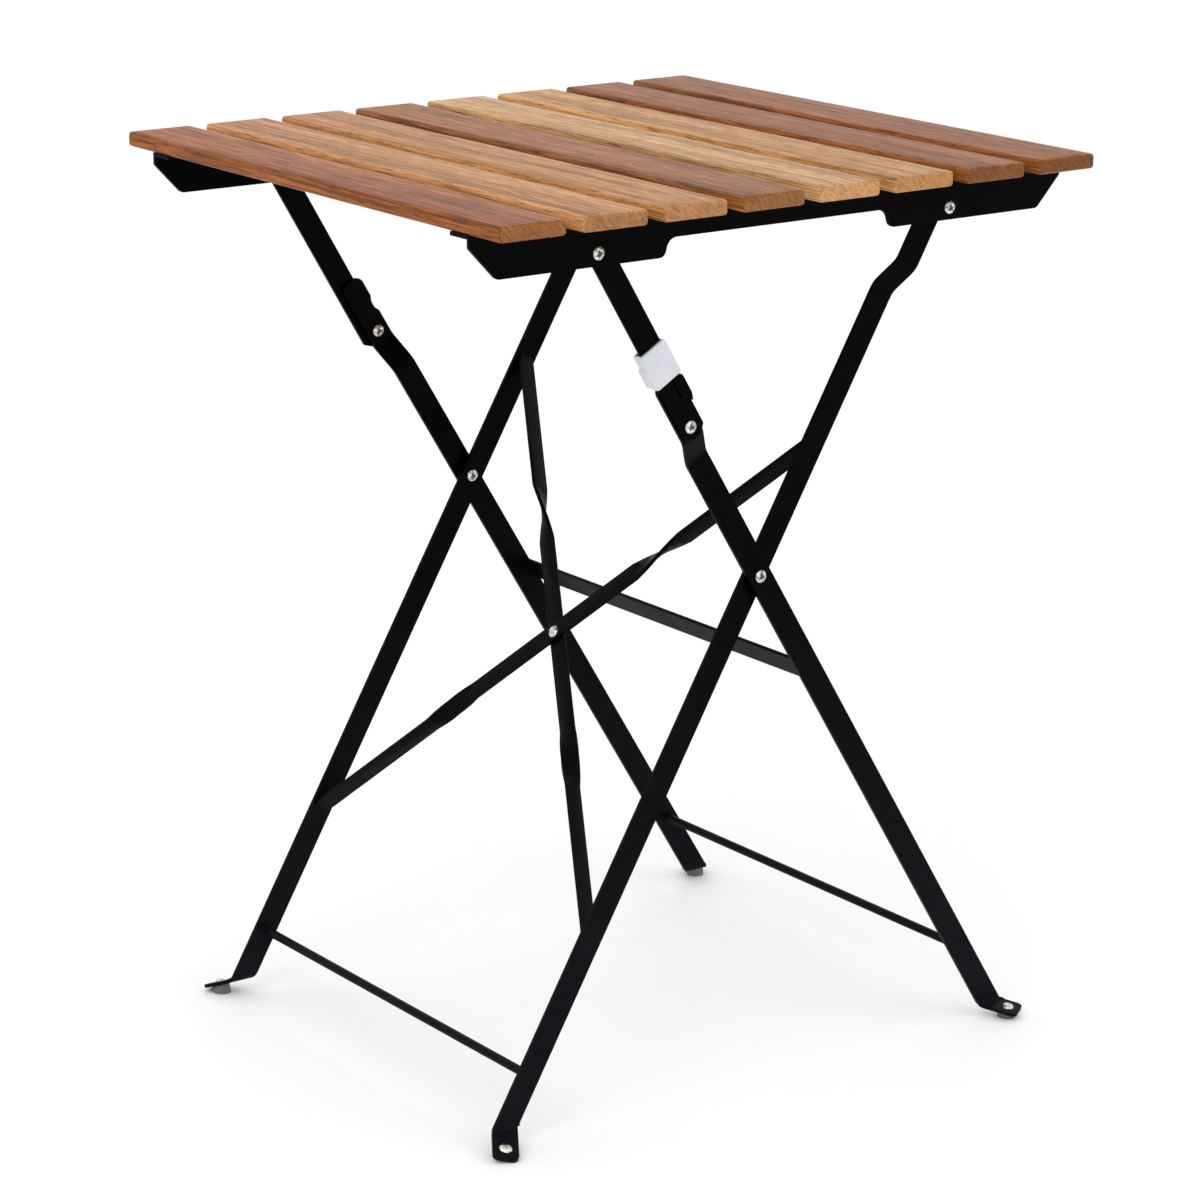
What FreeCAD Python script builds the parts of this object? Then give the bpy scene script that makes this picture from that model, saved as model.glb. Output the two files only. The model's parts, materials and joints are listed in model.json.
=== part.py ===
import FreeCAD, Part

import math
import os

import Sketcher

V = FreeCAD.Vector
AXIS_X = V(1, 0, 0)
AXIS_Y = V(0, 1, 0)
AXIS_Z = V(0, 0, 1)

doc = FreeCAD.newDocument("folding_table")
sheet = doc.addObject("Spreadsheet::Sheet", "dims")

# Driving dimensions in millimetres and degrees. X runs along the slats, Y along the two rails,
# Z up from the floor; "across" means the X position of a face, measured from the middle.
DIMENSIONS = {
    # top
    "table_height": 710,
    "slat_length": 520,
    "slat_width": 56,
    "slat_pitch": 69.7,
    "slat_count": 8,
    "slat_thickness": 11.6,
    "slat_edge_radius": 2.6,
    # angle rails
    "rail_length": 543,
    "rail_across": 221,
    "steel": 3,
    "rail_flange_width": 24,
    "rail_ear_depth": 33.4,
    "rail_web_depth": 19.4,
    "rail_ear_outer": 249,
    "rail_ear_inner": 104,
    "rail_chamfer_drop": 9.5,
    "rail_ear_slope": 4,
    "rail_end_radius": 3,
    "rail_ear_radius": 6,
    "rail_web_radius": 9,
    # pivots
    "pivot_spread": 162,
    "pivot_drop": 24,
    "link_reach": 163.3,
    "crossing_offset": 2.5,
    "crossing_height": 407.4,
    # straps
    "strap_width": 20,
    "link_across": 215.2,
    "knee_across": 211.9,
    "outer_leg_across": 200,
    "inner_leg_top_across": 207,
    "inner_leg_across": 193,
    "near_link_offset_top": 4.4,
    "near_link_offset_knee": 1.2,
    "far_link_offset_top": -0.5,
    "far_link_offset_knee": -5,
    "link_tail": 10.5,
    "link_crop": 6,
    "link_corner_radius": 1.3,
    "strap_end_radius": 9.9,
    "inner_leg_offset": 3,
    "outer_joggle_start": 10,
    "outer_joggle_end": 33,
    "inner_joggle_start": 51.5,
    "inner_joggle_end": 72.5,
    "joggle_radius": 14,
    "far_tab_length": 50,
    "near_tab_length": 42,
    "tab_corner_radius": 7,
    # stop lug on each knee tab, heights above the knee
    "near_lug_low": 17,
    "near_lug_high": 41.5,
    "far_lug_low": 31,
    "far_lug_high": 48,
    "lug_web": 2,
    "lug_lip": 7,
    "lug_across": 216.9,
    "lug_gap": 0.3,
    # edge of the far tab, drawn in below its lug
    "waist_low": 12,
    "waist_depth": 2.2,
    "waist_radius": 7,
    # cross members
    "brace_width": 14.5,
    "brace_high": 203,
    "brace_low": 611,
    "brace_twist_inner": 62,
    "brace_twist_outer": 98,
    "brace_gap": 0.02,
    "crossbar_width": 19,
    "crossbar_reach": 261.5,
    "crossbar_offset": 8.2,
    "rod_radius": 3.5,
    "inner_rod_reach": 723,
    "outer_rod_reach": 549.5,
    # feet
    "inner_foot_tilt": 22,
    "inner_tab_length": 31.5,
    "inner_tab_rivet": 20,
    "inner_glide_height": 5.2,
    "outer_foot_tilt": 10,
    "outer_tab_length": 24,
    "outer_tab_rivet": 14,
    "outer_glide_height": 6,
    "foot_bend_radius": 4,
    "foot_blank": 60,
    "foot_corner_radius": 5,
    "glide_radius": 7.5,
    # fasteners
    "pin_radius": 3,
    "foot_pin_radius": 2.4,
    "head_radius": 5,
    "head_height": 2.3,
    "washer_radius": 8,
    "bush_radius": 6.5,
    "running_gap": 0.08,
    "side_gap": 0.2,
    "screw_radius": 1.8,
    "screw_head_radius": 3.6,
    "screw_head_height": 2,
    "screw_depth": 8,
    # lock sleeve on the near link
    "sleeve_start": 90.5,
    "sleeve_length": 30.2,
    "sleeve_width": 24.2,
    "sleeve_inner_across": 207.6,
    "sleeve_outer_across": 217.6,
    "sleeve_back_wall": 1.2,
    "sleeve_front_wall": 2.2,
    "sleeve_clearance": 0.4,
    "sleeve_corner_radius": 2,
    "sleeve_ledge": 11,
    "sleeve_step": 1.8,
}

for row, (name, value) in enumerate(DIMENSIONS.items(), start=1):
    sheet.set("A%d" % row, name)
    sheet.set("B%d" % row, str(value))
    sheet.setAlias("B%d" % row, name)
doc.recompute()


def dim(name):
    """Read one driving dimension back from the sheet."""
    return float(getattr(sheet, name))


SUBPARTS = []
FOOT_BLANK = dim("foot_blank")  # height of the piece of strap that is shaped together with its foot
FAR_OUT = 1000.0  # beyond every edge of the table, for masks and cutting boxes
SIDE_LOW, SIDE_HIGH = 150.0, 260.0  # X limits that hold one side's straps and nothing else
STEEL = dim("steel")
HALF_STRAP = dim("strap_width") / 2
GAP = dim("side_gap")
SLAT_UNDERSIDE = dim("table_height") - dim("slat_thickness")

# Pivot points in the Y-Z plane. The table folds flat because the knee strut is as long as what is
# left between the ends of the link and of the inner leg when all three lie along the rail.
LINK_PIVOT = V(0, -dim("pivot_spread"), SLAT_UNDERSIDE - dim("pivot_drop"))
LEG_PIVOT = V(0, dim("pivot_spread"), SLAT_UNDERSIDE - dim("pivot_drop"))
CROSSING = V(0, dim("crossing_offset"), dim("crossing_height"))
INNER_REACH = (CROSSING - LEG_PIVOT).Length
KNEE_REACH = dim("link_reach") + INNER_REACH - 2 * dim("pivot_spread")


def circles_meet(centre_a, radius_a, centre_b, radius_b):
    """Meeting point of two circles in the Y-Z plane, on the +Y side of the line a to b."""
    span = centre_b - centre_a
    along = (radius_a ** 2 - radius_b ** 2 + span.Length ** 2) / (2 * span.Length)
    aside = math.sqrt(max(radius_a ** 2 - along ** 2, 0))
    span.normalize()
    return centre_a + span * along + V(0, -span.z, span.y) * aside


KNEE = circles_meet(LINK_PIVOT, dim("link_reach"), CROSSING, KNEE_REACH)


def lean(top, bottom):
    """Angle in degrees about X that turns straight down into the direction from top to bottom."""
    down = bottom - top
    return math.degrees(math.atan2(down.y, -down.z))


INNER_LEAN = lean(LEG_PIVOT, CROSSING)
OUTER_LEAN = lean(KNEE, CROSSING)


def placed(origin, angle=0.0, across=0.0):
    """Placement at a pivot, turned about X, moved sideways along X."""
    return FreeCAD.Placement(origin + V(across, 0, 0), FreeCAD.Rotation(AXIS_X, angle))


# The inner leg's own line passes beside its rail pivot and through the crossing.
INNER_SKEW = math.degrees(math.atan(dim("inner_leg_offset") / INNER_REACH))
INNER_STRAP_LEAN = INNER_LEAN + INNER_SKEW
INNER_FRAME = placed(CROSSING - V(0, math.sin(math.radians(INNER_STRAP_LEAN)),
                                  -math.cos(math.radians(INNER_STRAP_LEAN))) * INNER_REACH,
                     INNER_STRAP_LEAN)
OUTER_FRAME = placed(KNEE, OUTER_LEAN)


def link_frame(name):
    """Frame of one link's strap, whose two pivot holes are off its middle by different amounts."""
    slip = dim(name + "_link_offset_top") - dim(name + "_link_offset_knee")
    skew = math.degrees(math.atan(slip / dim("link_reach")))
    return placed(LINK_PIVOT, lean(LINK_PIVOT, KNEE) - skew)


def knee_in_link(name):
    return link_frame(name).inverse().multVec(KNEE)


# ---------------------------------------------------------------- shape helpers


def outline(corners, to_point=lambda a, b: V(a, b, 0)):
    """Closed chain of lines and tangent arcs through corners (a, b, radius)."""
    pts = [V(a, b, 0) for a, b, _ in corners]
    count = len(pts)
    stations = []
    for i, corner in enumerate(pts):
        radius = corners[i][2]
        before = (pts[i - 1] - corner).normalize()
        after = (pts[(i + 1) % count] - corner).normalize()
        if radius <= 0:
            stations.append((corner, None, corner))
            continue
        half = before.getAngle(after) / 2
        cut = radius / math.tan(half)
        middle = (before + after).normalize() * (radius / math.sin(half) - radius)
        stations.append((corner + before * cut, corner + middle, corner + after * cut))
    chain = []
    for i, (start, middle, end) in enumerate(stations):
        if middle is not None:
            chain.append(Part.Arc(*[to_point(p.x, p.y) for p in (start, middle, end)]))
        following = stations[(i + 1) % count][0]
        if (following - end).Length > 1e-6:
            chain.append(Part.LineSegment(to_point(end.x, end.y), to_point(following.x, following.y)))
    return chain


def wire(corners, to_point):
    return Part.Wire([piece.toShape() for piece in outline(corners, to_point)])


def in_side_view(a, b):
    return V(0, a, b)


def in_front_view(a, b):
    return V(a, 0, b)


def plate(corners, across_low, across_high):
    """Flat plate with a side-view outline (y, z, radius), between two X positions."""
    face = Part.Face(wire(corners, in_side_view))
    face.translate(V(across_low, 0, 0))
    return face.extrude(V(across_high - across_low, 0, 0))


def folded_strip(corners, half_width):
    """Strip with a front-view outline (x, z, radius), of even width about y = 0."""
    face = Part.Face(wire(corners, in_front_view))
    face.translate(V(0, -half_width, 0))
    return face.extrude(V(0, 2 * half_width, 0))


def rod_along_x(radius, low, high, y=0.0, z=0.0):
    return Part.makeCylinder(radius, high - low, V(low, y, z), AXIS_X)


def moved(shape, placement):
    """Copy carried into another frame, on top of any place it already has."""
    copy = shape.copy()
    copy.Placement = placement.multiply(shape.Placement)
    return copy


def add_shape(label, shape, placement=FreeCAD.Placement()):
    """A sub-part whose shape is worked out here from the sheet's dimensions."""
    feature = doc.addObject("Part::Feature", label)
    feature.Label = label
    feature.Shape = shape
    feature.Placement = placement.multiply(shape.Placement)
    SUBPARTS.append(feature)
    return feature


def new_body(label, placement=FreeCAD.Placement()):
    body = doc.addObject("PartDesign::Body", label)
    body.Label = label
    body.Placement = placement
    SUBPARTS.append(body)
    return body


def new_sketch(body, name, role, offset=V(0, 0, 0)):
    """Sketch on one of the body's own origin planes."""
    plane = [item for item in body.Origin.OriginFeatures if item.Role == role][0]
    sketch = body.newObject("Sketcher::SketchObject", body.Name + "_" + name)
    sketch.AttachmentSupport = (plane, [""])
    sketch.MapMode = "FlatFace"
    sketch.AttachmentOffset = FreeCAD.Placement(offset, FreeCAD.Rotation())
    return sketch


def draw_rectangle(sketch, length_expression, width_expression, length, width):
    """Rectangle centred on the sketch's origin, both sizes bound to the sheet."""
    a, b = length / 2, width / 2
    points = [V(-a, -b, 0), V(a, -b, 0), V(a, b, 0), V(-a, b, 0)]
    for i in range(4):
        sketch.addGeometry(Part.LineSegment(points[i], points[(i + 1) % 4]), False)
    for i in range(4):
        sketch.addConstraint(Sketcher.Constraint("Coincident", i, 2, (i + 1) % 4, 1))
    sketch.addConstraint(Sketcher.Constraint("Horizontal", 0))
    sketch.addConstraint(Sketcher.Constraint("Horizontal", 2))
    sketch.addConstraint(Sketcher.Constraint("Vertical", 1))
    sketch.addConstraint(Sketcher.Constraint("Vertical", 3))
    sketch.addConstraint(Sketcher.Constraint("Symmetric", 0, 1, 1, 2, -1, 1))
    along = sketch.addConstraint(Sketcher.Constraint("DistanceX", 0, 1, 0, 2, length))
    aside = sketch.addConstraint(Sketcher.Constraint("DistanceY", 1, 1, 1, 2, width))
    sketch.setExpression("Constraints[%d]" % along, length_expression)
    sketch.setExpression("Constraints[%d]" % aside, width_expression)


def draw_circle(sketch, centre, radius_expression, radius):
    index = sketch.addGeometry(Part.Circle(centre, AXIS_Z, radius), False)
    sketch.addConstraint(Sketcher.Constraint("Coincident", index, 3, -1, 1)
                         if centre.Length == 0
                         else Sketcher.Constraint("DistanceX", -1, 1, index, 3, centre.x))
    if centre.Length:
        sketch.addConstraint(Sketcher.Constraint("DistanceY", -1, 1, index, 3, centre.y))
    size = sketch.addConstraint(Sketcher.Constraint("Radius", index, radius))
    sketch.setExpression("Constraints[%d]" % size, radius_expression)


def add_pad(body, sketch, length_expression, reverse=False, midplane=False):
    pad = body.newObject("PartDesign::Pad", sketch.Name + "_pad")
    pad.Profile = sketch
    pad.setExpression("Length", length_expression)
    pad.Reversed = reverse
    pad.Midplane = midplane
    doc.recompute()
    return pad


def add_pocket(body, sketch, length_expression, reverse=False):
    """Pocket whose depth is bound to the sheet; it has to remove something."""
    before = body.Shape.Volume
    pocket = body.newObject("PartDesign::Pocket", sketch.Name + "_pocket")
    pocket.Profile = sketch
    pocket.setExpression("Length", length_expression)
    pocket.Reversed = reverse
    doc.recompute()
    if body.Shape.Volume > before - 1e-3:
        raise RuntimeError("%s cuts nothing" % pocket.Name)
    return pocket


# ---------------------------------------------------------------- top: slats, rails, screws


def slat_positions():
    count = int(dim("slat_count"))
    return [(i - (count - 1) / 2) * dim("slat_pitch") for i in range(count)]


SCREW_ACROSS = dim("rail_across") - dim("rail_flange_width") / 2


def make_slat(number, y):
    """Hardwood board with eased edges and a blind screw hole over each rail."""
    body = new_body("slat_%d" % number, placed(V(0, y, SLAT_UNDERSIDE)))
    board = new_sketch(body, "board", "XY_Plane")
    draw_rectangle(board, "dims.slat_length", "dims.slat_width", dim("slat_length"), dim("slat_width"))
    pad = add_pad(body, board, "dims.slat_thickness")
    easing = body.newObject("PartDesign::Fillet", body.Name + "_easing")
    easing.Base = (pad, ["Edge%d" % (i + 1) for i in range(len(pad.Shape.Edges))])
    easing.setExpression("Radius", "dims.slat_edge_radius")
    doc.recompute()
    holes = new_sketch(body, "holes", "XY_Plane")
    for side in (-1, 1):
        draw_circle(holes, V(side * SCREW_ACROSS, 0, 0), "dims.screw_radius", dim("screw_radius"))
    add_pocket(body, holes, "dims.screw_depth", reverse=True)


def rail_outline():
    """Upright leg of the rail: an ear round each pivot, a shallow web between and chamfered ends."""
    end = dim("rail_length") / 2
    chamfer_top = -dim("rail_chamfer_drop")
    ear = -dim("rail_ear_depth")
    web = -dim("rail_web_depth")
    ear_outer = dim("rail_ear_outer")
    ear_inner = dim("rail_ear_inner")
    ear_radius = dim("rail_ear_radius")
    half = [(end, 0, 0), (end, chamfer_top, dim("rail_end_radius")), (ear_outer, ear, ear_radius),
            (ear_inner, ear, ear_radius), (ear_inner - dim("rail_ear_slope"), web, dim("rail_web_radius"))]
    mirrored = [(-y, z, radius) for y, z, radius in reversed(half)]
    return half + mirrored


def make_rail(label, turn):
    """Steel angle under the slat ends, flange inwards; the far one is the near one turned round."""
    place = FreeCAD.Placement(V(0, 0, SLAT_UNDERSIDE), FreeCAD.Rotation(AXIS_Z, turn))
    body = new_body(label, place)
    web = new_sketch(body, "web", "YZ_Plane", V(0, 0, dim("rail_across") - STEEL))
    web.addGeometry(outline(rail_outline()), False)
    add_pad(body, web, "dims.steel")
    flange = new_sketch(body, "flange", "XY_Plane", V(SCREW_ACROSS, 0, 0))
    draw_rectangle(flange, "dims.rail_flange_width", "dims.rail_length",
                   dim("rail_flange_width"), dim("rail_length"))
    add_pad(body, flange, "dims.steel", reverse=True)
    screws = new_sketch(body, "screw_holes", "XY_Plane")
    for y in slat_positions():
        draw_circle(screws, V(SCREW_ACROSS, y, 0), "dims.screw_radius", dim("screw_radius"))
    add_pocket(body, screws, "dims.steel + 1")
    pins = new_sketch(body, "pin_holes", "YZ_Plane", V(0, 0, dim("rail_across") + 1))
    for side in (-1, 1):
        draw_circle(pins, V(side * dim("pivot_spread"), -dim("pivot_drop"), 0), "dims.pin_radius",
                    dim("pin_radius"))
    add_pocket(body, pins, "dims.steel + 2")


def make_screws(label, side):
    """Pan-head screws up through the rail's flange, one into each slat."""
    underside = SLAT_UNDERSIDE - STEEL
    screws = []
    for y in slat_positions():
        foot = V(side * SCREW_ACROSS, y, underside)
        shank = Part.makeCylinder(dim("screw_radius"), STEEL + dim("screw_depth") - 0.5, foot)
        head = Part.makeCylinder(dim("screw_head_radius"), dim("screw_head_height"),
                                 foot - V(0, 0, dim("screw_head_height")))
        screws.append(shank.fuse(head).removeSplitter())
    add_shape(label, Part.makeCompound(screws))


# ---------------------------------------------------------------- fasteners


def dome(radius, height, face, outward):
    """Domed rivet head standing on an X face, pointing along outward (+1 or -1)."""
    sphere_radius = (radius ** 2 + height ** 2) / (2 * height)
    centre = V(face + outward * (height - sphere_radius), 0, 0)
    ball = Part.makeSphere(sphere_radius, centre)
    low = face if outward > 0 else face - height - 1
    keep = Part.makeBox(height + 1, 4 * radius, 4 * radius, V(low, -2 * radius, -2 * radius))
    return ball.common(keep)


def mirror_if(shape, side):
    """Copy for the far side: mirrored in the middle plane."""
    if side > 0:
        return shape
    return shape.mirror(V(0, 0, 0), AXIS_X)


def rivet(inner_face, outer_face, shank_radius, inner_head=True, outer_head=True):
    """Rivet along X between two faces, with a domed head at either end."""
    body = rod_along_x(shank_radius, inner_face, outer_face)
    if outer_head:
        body = body.fuse(dome(dim("head_radius"), dim("head_height"), outer_face, 1))
    if inner_head:
        body = body.fuse(dome(dim("head_radius"), dim("head_height"), inner_face, -1))
    return body.removeSplitter()


def washer(inner_face, outer_face, radius):
    hole = rod_along_x(dim("pin_radius") + dim("running_gap"), inner_face - 1, outer_face + 1)
    return rod_along_x(radius, inner_face, outer_face).cut(hole)


def make_top_pivots(name, side):
    """Rail rivets of one side, with the washer over the link and the bush over the inner leg."""
    rail_inner = dim("rail_across") - STEEL
    link_inner = dim("link_across") - STEEL
    leg_inner = dim("inner_leg_top_across") - STEEL
    pin = dim("pin_radius")
    link_pin = rivet(link_inner - GAP, dim("rail_across"), pin)
    add_shape("link_rivet_" + name, mirror_if(link_pin, side), placed(LINK_PIVOT))
    leg_pin = rivet(leg_inner - GAP, dim("rail_across"), pin)
    add_shape("leg_rivet_" + name, mirror_if(leg_pin, side), placed(LEG_PIVOT))
    spacer = washer(dim("link_across") + GAP, rail_inner - GAP / 2, dim("washer_radius"))
    add_shape("link_washer_" + name, mirror_if(spacer, side), placed(LINK_PIVOT))
    bush = washer(dim("inner_leg_top_across") + GAP, rail_inner - GAP / 2, dim("bush_radius"))
    add_shape("leg_bush_" + name, mirror_if(bush, side), placed(LEG_PIVOT))


# ---------------------------------------------------------------- upper links and lock sleeve


def make_link(name, side):
    """Flat link from the rail to the knee, set off-centre on its rail pivot, cropped at the knee."""
    frame = link_frame(name)
    knee = knee_in_link(name)
    placement = FreeCAD.Placement(V(side * dim("link_across"), 0, 0), FreeCAD.Rotation()).multiply(frame)
    body = new_body("upper_link_" + name, placement)
    middle = dim(name + "_link_offset_top")
    left = middle - HALF_STRAP
    right = middle + HALF_STRAP
    crop = dim("link_crop")
    end = knee.z - dim("link_tail")
    soft = dim("link_corner_radius")
    round_end = dim("strap_end_radius")
    shape = new_sketch(body, "strap", "YZ_Plane")
    shape.addGeometry(outline([(left, end + crop, soft), (left + crop, end, soft),
                               (right - crop, end, soft), (right, end + crop, soft),
                               (right, HALF_STRAP, round_end), (left, HALF_STRAP, round_end)]), False)
    add_pad(body, shape, "dims.steel", reverse=side > 0)
    pins = new_sketch(body, "pins", "YZ_Plane", V(0, 0, side))
    for y, z in ((0, 0), (knee.y, knee.z)):
        draw_circle(pins, V(y, z, 0), "dims.pin_radius + dims.running_gap",
                    dim("pin_radius") + dim("running_gap"))
    add_pocket(body, pins, "dims.steel + 2", reverse=side < 0)


def make_sleeve():
    """Moulded lock sleeve: a rectangular tube that slides on the near link, wider low on its -Y side."""
    middle = dim("near_link_offset_top")
    half = dim("sleeve_width") / 2
    corner = dim("sleeve_corner_radius")
    low = dim("sleeve_inner_across")
    high = dim("sleeve_outer_across")
    top = -dim("sleeve_start")
    bottom = top - dim("sleeve_length")
    step = dim("sleeve_step")
    ledge = top - dim("sleeve_ledge")
    shell = plate([(middle - half - step, bottom, 2 * corner), (middle + half, bottom, corner),
                   (middle + half, top, corner), (middle - half, top, corner),
                   (middle - half, ledge, 0), (middle - half - step, ledge - step, 0)], low, high)
    back = dim("sleeve_back_wall")
    clearance = dim("sleeve_clearance")
    cavity = Part.makeBox(high - low - back - dim("sleeve_front_wall"), dim("strap_width") + 2 * clearance,
                          dim("sleeve_length") + 2,
                          V(low + back, middle - HALF_STRAP - clearance, bottom - 1))
    add_shape("lock_sleeve", shell.cut(cavity), link_frame("near"))


# ---------------------------------------------------------------- legs


def joggled_strap(first_outer, second_outer, top, bend_start, bend_end, bottom):
    """Strap that steps from one X plane to another between two heights; heights are negative."""
    first_inner = first_outer - STEEL
    second_inner = second_outer - STEEL
    tight = dim("joggle_radius")
    wide = tight + STEEL
    return folded_strip([(first_outer, top, 0), (first_inner, top, 0), (first_inner, bend_start, tight),
                         (second_inner, bend_end, wide), (second_inner, bottom, 0),
                         (second_outer, bottom, 0), (second_outer, bend_end, tight),
                         (first_outer, bend_start, wide)], HALF_STRAP)


def strap_silhouette(bottom, top, radius):
    """Side-view mask that rounds the strap's top end."""
    return plate([(-HALF_STRAP, bottom, 0), (HALF_STRAP, bottom, 0), (HALF_STRAP, top, radius),
                  (-HALF_STRAP, top, radius)], SIDE_LOW, SIDE_HIGH)


def make_foot(family, pivot, angle):
    """Turned-out foot tab: the strap bent about a level line along Y, then cut to its slanted outline.

    Returned in world directions from the top of the leg's line, with the tab's own frame."""
    floor = -pivot.z
    tilt = dim(family + "_foot_tilt")
    slant = math.radians(tilt)
    outer_face = dim(family + "_leg_across")
    radius = dim("foot_bend_radius")
    drop = dim(family + "_tab_rivet") * math.cos(math.radians(angle)) * math.sin(slant)
    bend = floor + dim(family + "_glide_height") + drop
    inner_face = outer_face - STEEL
    run = 2 * dim(family + "_tab_length")
    end = V(outer_face + run * math.cos(slant), 0, bend - run * math.sin(slant))
    rise = V(math.sin(slant), 0, math.cos(slant)) * STEEL
    top_corner = V(outer_face, 0, bend + STEEL / math.cos(slant))
    low_corner = V(inner_face, 0, bend + STEEL * math.tan(slant))
    profile = [(outer_face, floor + FOOT_BLANK + 1, 0), (inner_face, floor + FOOT_BLANK + 1, 0),
               (low_corner.x, low_corner.z, radius + STEEL),
               (end.x, end.z, 0), (end.x + rise.x, end.z + rise.z, 0),
               (top_corner.x, top_corner.z, radius)]
    sheet_metal = folded_strip(profile, FAR_OUT)
    sheet_metal.translate(V(0, pivot_line(angle, bend), 0))
    band = strap_mask(angle, floor + FOOT_BLANK, bend + STEEL)
    tab_frame = tab_placement(angle, outer_face, bend, tilt)
    length = dim(family + "_tab_length")
    corner = dim("foot_corner_radius")
    behind = -HALF_STRAP
    tab = Part.Face(wire([(behind, -HALF_STRAP, 0), (length, -HALF_STRAP, corner),
                          (length, HALF_STRAP, corner), (behind, HALF_STRAP, 0)],
                         lambda a, b: V(a, b, -length))).extrude(V(0, 0, 2 * length))
    tab = moved(tab, tab_frame)
    below = Part.makeBox(SIDE_HIGH, 2 * FAR_OUT, length, V(0, -FAR_OUT, bend + STEEL + 1 - length))
    return sheet_metal.common(band.fuse(tab.common(below))), tab_frame


def pivot_line(angle, z):
    """Y of the strap's centre line at a height, both measured from the pivot."""
    return -z * math.tan(math.radians(angle))


def strap_mask(angle, top, bottom):
    """Slanted band as wide as the strap, seen from the side, between two heights."""
    half = HALF_STRAP / math.cos(math.radians(angle))
    high = pivot_line(angle, top)
    low = pivot_line(angle, bottom)
    return plate([(low - half, bottom, 0), (low + half, bottom, 0), (high + half, top, 0),
                  (high - half, top, 0)], SIDE_LOW, SIDE_HIGH)


def tab_placement(angle, outer_face, bend, tilt):
    """Frame of a foot tab: X along it, Y across it, Z up through it, origin on its underside."""
    lean_angle = math.radians(angle)
    slant = math.radians(tilt)
    along = V(math.cos(lean_angle) * math.cos(slant), math.sin(lean_angle),
              -math.cos(lean_angle) * math.sin(slant))
    up = V(math.sin(slant), 0, math.cos(slant))
    across = up.cross(along)
    frame = FreeCAD.Matrix(along.x, across.x, up.x, outer_face, along.y, across.y, up.y,
                           pivot_line(angle, bend), along.z, across.z, up.z, bend, 0, 0, 0, 1)
    return FreeCAD.Placement(frame)


def cut_pin(shape, y, z, radius):
    """Hole right through one side's straps."""
    return shape.cut(rod_along_x(radius, SIDE_LOW, SIDE_HIGH, y, z))


def make_leg(family, name, side, pivot, angle, strap):
    """Leg strap with its turned-out foot, glide and foot rivet; strap is given along its own line."""
    foot, tab_frame = make_foot(family, pivot, angle)
    above_foot = Part.makeBox(SIDE_HIGH, 2 * FAR_OUT, FAR_OUT, V(0, -FAR_OUT, -pivot.z + FOOT_BLANK))
    leg = moved(strap, placed(V(0, 0, 0), angle)).common(above_foot).fuse(foot).removeSplitter()

    pin_radius = dim("foot_pin_radius")
    rivet_foot = V(dim(family + "_tab_rivet"), 0, 0)
    hole = Part.makeCylinder(pin_radius, 4 * STEEL, rivet_foot - AXIS_Z * 2 * STEEL)
    pin = Part.makeCylinder(pin_radius, 2 * STEEL, rivet_foot - AXIS_Z * STEEL)
    upright = FreeCAD.Placement(rivet_foot + AXIS_Z * STEEL, FreeCAD.Rotation(AXIS_Y, -90))
    head = moved(dome(dim("head_radius"), dim("head_height"), 0, 1), upright)
    foot_rivet = moved(pin.fuse(head).removeSplitter(), tab_frame)
    leg = leg.cut(moved(hole, tab_frame))

    reach = 2 * dim("glide_radius")
    stud = Part.makeCylinder(dim("glide_radius"), reach, rivet_foot - AXIS_Z * reach)
    above_floor = Part.makeBox(SIDE_HIGH, 2 * FAR_OUT, FOOT_BLANK, V(0, -FAR_OUT, -pivot.z))
    glide = moved(stud, tab_frame).common(above_floor).cut(foot_rivet)

    place = placed(pivot)
    add_shape(family + "_leg_" + name, mirror_if(leg, side), place)
    add_shape(family + "_glide_" + name, mirror_if(glide, side), place)
    add_shape(family + "_foot_rivet_" + name, mirror_if(foot_rivet, side), place)


def make_inner_leg(name, side):
    """Inner leg: hangs from its bush on the rail, steps inwards and runs to the foot."""
    strap = joggled_strap(dim("inner_leg_top_across"), dim("inner_leg_across"), HALF_STRAP,
                          -dim("inner_joggle_start"), -dim("inner_joggle_end"), -FAR_OUT)
    strap = strap.common(strap_silhouette(-FAR_OUT, HALF_STRAP, dim("strap_end_radius")))
    pivot = INNER_FRAME.inverse().multVec(LEG_PIVOT)
    strap = cut_pin(strap, pivot.y, pivot.z, dim("pin_radius") + dim("running_gap"))
    strap = cut_pin(strap, 0, -INNER_REACH, dim("pin_radius"))
    make_leg("inner", name, side, INNER_FRAME.Base, INNER_STRAP_LEAN, strap)


def knee_lug(name):
    """Stop lug on a knee tab: a hook bent outwards round the link's +Y edge."""
    knee = knee_in_link(name)
    low = dim(name + "_lug_low")
    high = dim(name + "_lug_high")
    link_edge = V(0, dim(name + "_link_offset_top") + HALF_STRAP, knee.z + (low + high) / 2)
    face = OUTER_FRAME.inverse().multVec(link_frame(name).multVec(link_edge)).y + dim("lug_gap")
    web = dim("lug_web")
    lip = dim("lug_lip")
    root = dim("knee_across") - STEEL
    rim = dim("lug_across")
    bulge = low + 3 * web
    upright = plate([(face, low, 0), (face + web, bulge, lip), (face + web, high - web, web),
                     (face, high, 0)], root, rim)
    hook = plate([(face - lip, bulge, 1), (face, low, 0), (face + web / 2, bulge, 0),
                  (face + web / 2, high - web, 0), (face, high, 0), (face - lip, high - web, 1)],
                 dim("link_across") + GAP, rim)
    bridge = plate([(0, low, 0), (face, low, 0), (face + web / 2, bulge, 0),
                    (face + web / 2, high - web, 0), (face, high, 0), (0, high, 0)],
                   root, dim("knee_across"))
    return upright.fuse(hook).fuse(bridge)


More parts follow.
